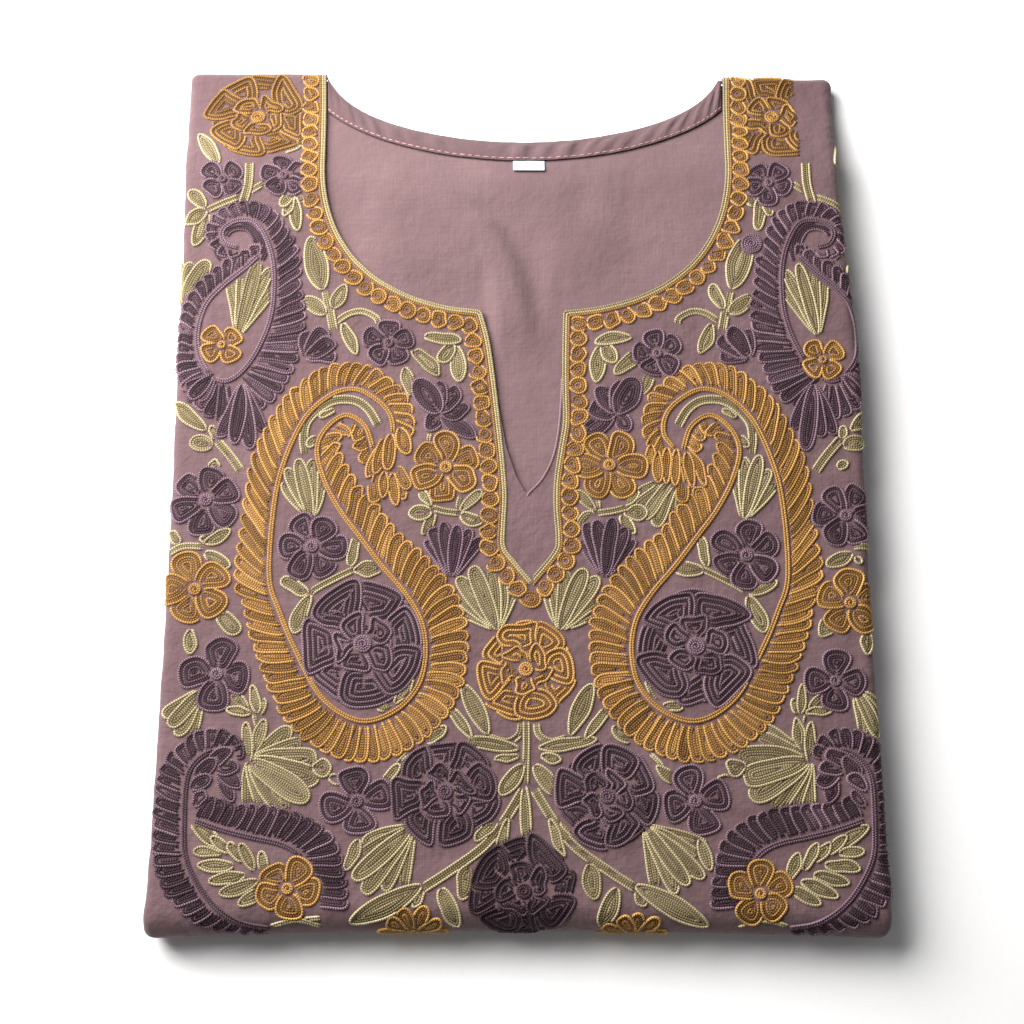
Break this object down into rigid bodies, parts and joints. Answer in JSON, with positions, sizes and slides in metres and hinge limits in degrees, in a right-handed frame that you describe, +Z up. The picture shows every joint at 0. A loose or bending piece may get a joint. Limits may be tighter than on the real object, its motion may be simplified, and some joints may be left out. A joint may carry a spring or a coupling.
{
  "type": "folded embroidered kurta tunic",
  "caption": "Cotton kurta tunic folded flat into a packet, front panel up, with a round V-slit neck showing the inside of the back.",
  "frame": {"origin": "under the middle of the packet, on the surface it lies on", "axes": "+X to the right with the neck away from the viewer, +Y towards the shoulders, +Z up out of the surface"},
  "size_m": [0.312, 0.4014, 0.022],
  "materials": {
    "mauve_cotton": "matte plain weave cotton",
    "mauve_inside": "matte plain weave cotton, inside face",
    "white_tape": "satin woven tape"
  },
  "bodies": {
    "root": {"front_panel": "mauve_cotton", "back_panel": "mauve_inside", "back_neck_facing": "mauve_inside", "folded_layers": "mauve_cotton", "size_label": "white_tape"}
  },
  "joints": []
}
